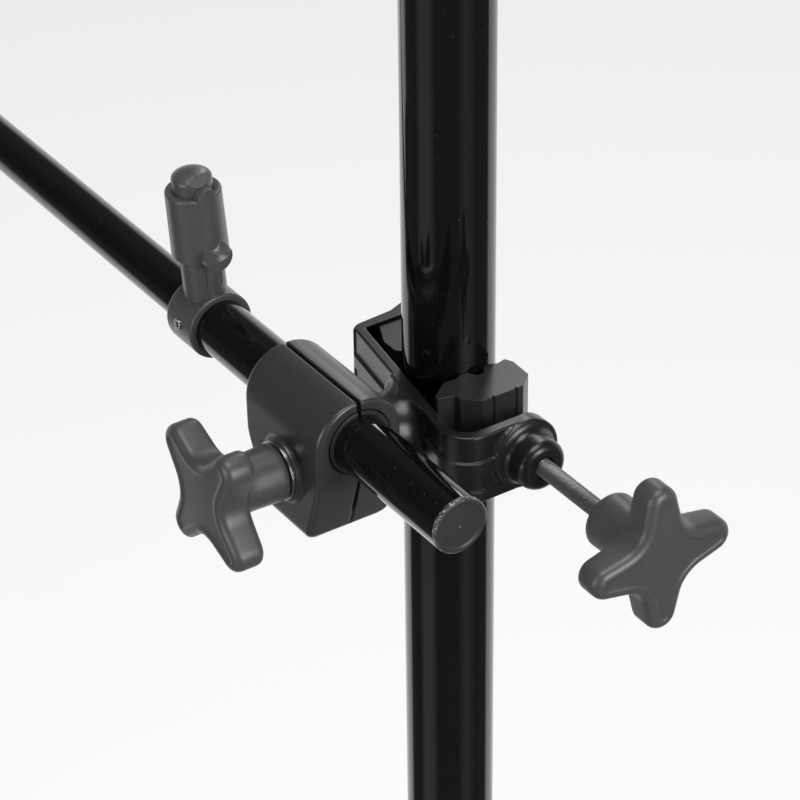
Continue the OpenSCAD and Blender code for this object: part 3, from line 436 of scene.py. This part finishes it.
def flared_boss(name, r, height, flare, hole, nose_r):
    """Boss about Z that flares at its foot, with a round hole sunk in its end."""
    foot = [(r + flare - flare * math.sin(a), flare - flare * math.cos(a))
            for a in (math.radians(10 * k) for k in range(10))]
    nose = [(r - nose_r + nose_r * math.cos(a), height - nose_r + nose_r * math.sin(a))
            for a in (math.radians(9 * k) for k in range(11))]
    return lathe(name, [(r + flare, -3 * MM)] + foot + nose +
                 [(hole + 0.5 * MM, height), (hole, height - 0.5 * MM), (hole, height - 4.2 * MM)])


column_low, column_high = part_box("column")
bracket_low, bracket_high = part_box("bracket")
clamp = Vector((0, 0, (bracket_low.z + bracket_high.z) / 2))
bracket_half = (bracket_high.z - bracket_low.z) / 2
spine_tilt = math.radians(9.6)


def spine_y(x, distance):
    return -(distance + x * math.sin(spine_tilt)) / math.cos(spine_tilt)


def bracket_skin():
    """The clamp's bracket: a C in plan, with two recesses and a rib round its outer side."""
    r = column_high.x
    spine_in, spine_out = r + 0.9 * MM, r + 6.9 * MM
    arm_in, arm_out = r + 30.05 * MM, r + 36.6 * MM
    far_in, far_out = r + 23 * MM, r + 28 * MM
    far_end, pivot_x = 20 * MM, 8 * MM
    inner = outline([
        (arm_in, bracket_half, 0), (arm_in, spine_y(arm_in, spine_in), 8 * MM),
        (-far_in, spine_y(-far_in, spine_in), 1.5 * MM), (-far_in, far_end, 0)
    ], closed=False, pitch=3 * MM)
    outer = outline([
        (-far_out - 5 * MM, far_end, 0), (-far_out - 5 * MM, 12 * MM, 6 * MM),
        (-far_out - 1.5 * MM, 3 * MM, 6 * MM),
        (-far_out, spine_y(-far_out, spine_out), 7 * MM), (arm_out, spine_y(arm_out, spine_out), 14 * MM),
        (arm_out, bracket_half, 0)
    ], closed=False, pitch=0.8 * MM, turn_step=3)

    def recess(z):
        low = smooth(-10.9 * MM, -10.3 * MM, z) * (1 - smooth(-2.7 * MM, -2.1 * MM, z))
        return 1.2 * MM * (low + smooth(3.5 * MM, 4.1 * MM, z))

    edge = 0.9 * MM
    levels = [(bracket_half - edge * (1 - math.sin(a)), edge * (1 - math.cos(a)))
              for a in (math.radians(18 * k) for k in range(6))]
    steps = [z for middle in (-10.6, -2.4, 3.8) for z in (middle + 0.1 * k for k in range(-4, 5))]
    levels += [(z * MM, 0) for z in steps + [-14, -12, -9, -7, -5, -1, 1, 3, 6, 9, 12, 14]]
    levels += [(-z, inset) for z, inset in levels if inset or z == bracket_half - edge]
    rings = []
    for z, inset in sorted(levels):
        ring = []
        pad = math.sqrt(max(bracket_half ** 2 - z ** 2, (0.4 * MM) ** 2)) / bracket_half
        for points, depth in ((inner, 0), (outer, recess(z))):
            for p, normal in points:
                x, y = p.x, p.y
                if x > arm_in - MM and y > 0:
                    y *= pad
                if x > r + 20 * MM:
                    clear = smooth(15.6 * MM, 16.5 * MM, math.hypot(y, z))
                else:
                    clear = smooth(20.7 * MM, 21.6 * MM, math.hypot(x - pivot_x, z))
                    clear *= smooth(-45.5 * MM, -44.5 * MM, x)
                step = inset + depth * clear
                ring.append((x - normal.x * step, y - normal.y * step, clamp.z + z))
        rings.append(ring)
    skin = skinned("bracket_skin", rings, flat=True)
    screw_boss = placed(flared_boss("screw_boss", 11.5 * MM, 13.5 * MM, 4.5 * MM, 4.7 * MM, 4 * MM),
                        clamp + Vector((arm_out, 0, 0)), math.pi / 2, "Y")
    # The pivot's boss stands on the tilted spine and ends square to the boom
    tall = 6 * MM
    pivot_boss = flared_boss("pivot_boss", 15 * MM, tall, 4.5 * MM, 4 * MM, 1.2 * MM)
    for v in pivot_boss.data.vertices:
        x, up, out = pivot_x + v.co.x, v.co.y, v.co.z
        foot = spine_y(x, spine_out)
        y = foot - out if out < 0 else foot + (bracket_low.y - foot) * out / tall
        v.co = (x, y, clamp.z + min(bracket_half - 0.1 * MM, max(0.1 * MM - bracket_half, up)))
    return joined("bracket_cast", [skin, screw_boss, pivot_boss])


dress(weigh_normals(bracket_skin()), "bracket", "bracket_body")


def threaded(name, core, crest, pitch, length, count=48):
    """Round bar along Z with a helical thread that runs out into the core at both ends."""
    steps = [(0, core), (0.36, core), (0.62, crest), (0.76, crest)]
    turns = math.ceil(length / pitch)
    verts = []
    for turn in range(-1, turns + 1):
        for step, radius in steps:
            for k in range(count):
                z = min(length, max(0.0, (turn + step + k / count) * pitch))
                full = smooth(0, pitch, z) * smooth(0, pitch, length - z)
                r, a = core + (radius - core) * full, 2 * math.pi * k / count
                verts.append((r * math.cos(a), r * math.sin(a), z))
    rows = len(verts) // count
    faces = []
    for i in range(rows - 1):
        for k in range(count - 1):
            a = i * count + k
            faces.append((a, a + 1, a + 1 + count, a + count))
        if i + 1 + len(steps) < rows:
            a, b = i * count + count - 1, (i + len(steps)) * count
            faces.append((a, b, b + count, a + count))
    bar = finished(name, verts, faces, merge=True)
    bar.data.set_sharp_from_angle(angle=math.radians(20))
    return bar


screw_low, screw_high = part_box("clamp_screw")
screw_r = (screw_high.y - screw_low.y) / 2
thread_depth, thread_pitch = 0.75 * MM, 1.25 * MM
screw = threaded("screw_thread", screw_r - thread_depth, screw_r, thread_pitch, screw_high.x - screw_low.x)
placed(screw, Vector((screw_low.x, 0, clamp.z)), math.pi / 2, "Y")
dress(screw, "clamp_screw", "clamp_knob_body")
# Painted shade: the faces at the thread's root get a near-black finish in place of the shade down in its groove
screw.data.materials.append(surface("thread_groove_painted_shade", (0.004, 0.004, 0.004), 0.6, bump=0.05, edge=0.00005))
for face in screw.data.polygons:
    if math.hypot(face.center.x, face.center.y) < screw_r - 0.7 * MM:
        face.material_index = 1


def spring(node, joint_name, wire=1.2 * MM, turns=5, round_steps=24):
    """A coil spring in place of its rings, wound along the axis of the sleeve's slide."""
    low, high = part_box(node)
    joint = next(j for j in record["behaviour"]["joints"] if j["name"] == joint_name)
    up, radius = -Vector(joint["axis"]), (high.x - low.x) / 2
    side = Vector((1, 0, 0))
    across = up.cross(side)
    length = (high.z - low.z - 2 * radius * math.hypot(up.x, up.y)) / up.z
    rings = []
    for k in range(turns * round_steps + 1):
        turn = k / round_steps
        ray = side * math.cos(2 * math.pi * turn) + across * math.sin(2 * math.pi * turn)
        middle = (low + high) / 2 + up * (length - wire) * (turn / turns - 0.5) + ray * (radius - wire / 2)
        rings.append([middle + (ray * math.cos(b) + up * math.sin(b)) * wire / 2
                      for b in (math.radians(45 * i) for i in range(8))])
    body = next(b for b, nodes in record["behaviour"]["bodies"].items() if node in nodes)
    coil = dress(skinned(node + "_coil", rings), node, body)
    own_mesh(coil)


spring("near_clip_spring", "near_sleeve_slide")
spring("far_clip_spring", "far_sleeve_slide")


# ---------------------------------------------------------------- floor, light and camera

# The studio is white behind the object and dark before it. The floor's glow for gloss adds a painted reflection
# of a soft strip on its left and its right.
AWAY, LEFT, RIGHT = (-0.79, 0.61, 0.0), (0.0, -1.0, 0.0), (0.99, 0.13, 0.0)


def facing(g, way, target, low, high, strength):
    """How far a direction turns towards target, as a smooth step up to strength."""
    dot = g.add("ShaderNodeVectorMath", {0: way, 1: target}, operation="DOT_PRODUCT")
    step = g.add("ShaderNodeMapRange", {"Value": dot.outputs["Value"], "From Min": low, "From Max": high,
                                        "To Min": 0.0, "To Max": strength}, interpolation_type="SMOOTHSTEP")
    return step.outputs["Result"]


def floor_material():
    """Matt pale floor that looks white. Gloss rays see it glow as a painted reflection: white behind the object,
    dark before it, with bright strips on its left and its right.
    """
    mat = bpy.data.materials.new("pale_floor")
    mat.use_nodes = True
    g = Graph(mat.node_tree)
    path = g.add("ShaderNodeLightPath")
    where = g.add("ShaderNodeNewGeometry").outputs["Position"]
    way = g.add("ShaderNodeVectorMath", {0: where}, operation="NORMALIZE").outputs["Vector"]
    # Painted reflection: bands of glow that only gloss rays see, to the left and to the right
    painted_reflection_strips = g.add("ShaderNodeMath", {0: facing(g, way, LEFT, 0.9, 1.0, 0.35),
                                      1: facing(g, way, RIGHT, 0.94, 1.0, 0.2)}, operation="ADD")
    level = g.add("ShaderNodeMath", {0: facing(g, way, AWAY, 0.3, 0.45, 1.0), 1: painted_reflection_strips.outputs["Value"]},
                  operation="ADD")
    dim = g.add("ShaderNodeMath", {0: level.outputs["Value"], 1: 0.1}, operation="ADD")
    strength = g.add("ShaderNodeMix", {"Factor": path.outputs["Is Camera Ray"], "A": dim.outputs["Value"],
                                       "B": 1.15})
    seen = g.add("ShaderNodeMath", {0: path.outputs["Is Camera Ray"], 1: 0.6}, operation="MULTIPLY")
    share = g.add("ShaderNodeMath", {0: seen.outputs["Value"], 1: path.outputs["Is Glossy Ray"]},
                  operation="MAXIMUM")
    matt = g.add("ShaderNodeBsdfDiffuse", {"Color": (0.86, 0.86, 0.86, 1)})
    glow = g.add("ShaderNodeEmission", {"Color": (1, 1, 1, 1), "Strength": strength.outputs["Result"]})
    mixed = g.add("ShaderNodeMixShader", {"Fac": share.outputs["Value"], 1: matt.outputs["BSDF"],
                                          2: glow.outputs["Emission"]})
    g.add("ShaderNodeOutputMaterial", {"Surface": mixed.outputs["Shader"]})
    return mat


floor_mesh = bpy.data.meshes.new("floor")
floor_half = 30.0
floor_mesh.from_pydata([
    (x * floor_half, y * floor_half, 0) for x, y in ((-1, -1), (1, -1), (1, 1), (-1, 1))
], [], [(0, 1, 2, 3)])
floor = bpy.data.objects.new("floor", floor_mesh)
bpy.context.scene.collection.objects.link(floor)
floor_mesh.materials.append(floor_material())

world = bpy.data.worlds.new("studio")
bpy.context.scene.world = world
world.use_nodes = True
g = Graph(world.node_tree)
path = g.add("ShaderNodeLightPath")
towards = g.add("ShaderNodeTexCoord").outputs["Generated"]
height = g.add("ShaderNodeSeparateXYZ", {"Vector": towards}).outputs["Z"]
low = g.add("ShaderNodeMapRange", {"Value": height, "From Min": 0.12, "From Max": 0.42,
                                   "To Min": 1.0, "To Max": 0.06}, interpolation_type="SMOOTHSTEP")
room = g.add("ShaderNodeMath", {0: facing(g, towards, AWAY, 0.3, 0.6, 1.0), 1: low.outputs["Result"], 2: 0.05},
             operation="MULTIPLY_ADD")
level = g.add("ShaderNodeMath", {0: room.outputs["Value"], 1: path.outputs["Is Camera Ray"]}, operation="MAXIMUM")
glow = g.add("ShaderNodeBackground", {"Color": (1, 1, 1, 1), "Strength": level.outputs["Value"]})
g.add("ShaderNodeOutputWorld", {"Surface": glow.outputs["Background"]})


def lamp(name, place, size, power):
    data = bpy.data.lights.new(name, "AREA")
    data.shape = "RECTANGLE"
    data.size, data.size_y = size
    data.energy = power
    obj = bpy.data.objects.new(name, data)
    bpy.context.scene.collection.objects.link(obj)
    obj.location = place
    obj.rotation_euler = (clamp - Vector(place)).to_track_quat("-Z", "Y").to_euler()
    return obj


lamp("overhead", (0.2, -0.2, 2.7), (1.2, 1.2), 28)
lamp("behind", (-1.2, 1.1, 2.1), (0.35, 1.4), 8)
lamp("left", (0.2, -2.3, 1.2), (1.0, 1.4), 23)
lamp("right", (2.1, 0.3, 1.3), (1.0, 1.4), 45)

camera = bpy.data.objects.new("camera", bpy.data.cameras.new("camera"))
bpy.context.scene.collection.objects.link(camera)
# The camera looks at the clamp from its azimuth and elevation, rolled a little and shifted in its own plane
azimuth, elevation, roll = math.radians(-33.478), math.radians(33.073), math.radians(-0.776)
shift_right, shift_up, distance = -20.9 * MM, -3.05 * MM, 1.2994
outwards = Vector((math.cos(elevation) * math.cos(azimuth), math.cos(elevation) * math.sin(azimuth),
                   math.sin(elevation)))
camera.matrix_world = (Matrix.Translation(clamp) @ outwards.to_track_quat("Z", "Y").to_matrix().to_4x4()
                       @ Matrix.Rotation(roll, 4, "Z")
                       @ Matrix.Translation((shift_right, shift_up, distance)))
camera.data.lens = 136.53
camera.data.sensor_width = 36
camera.data.clip_start, camera.data.clip_end = 0.01, 100
bpy.context.scene.camera = camera
bpy.context.scene.view_settings.view_transform = "Standard"
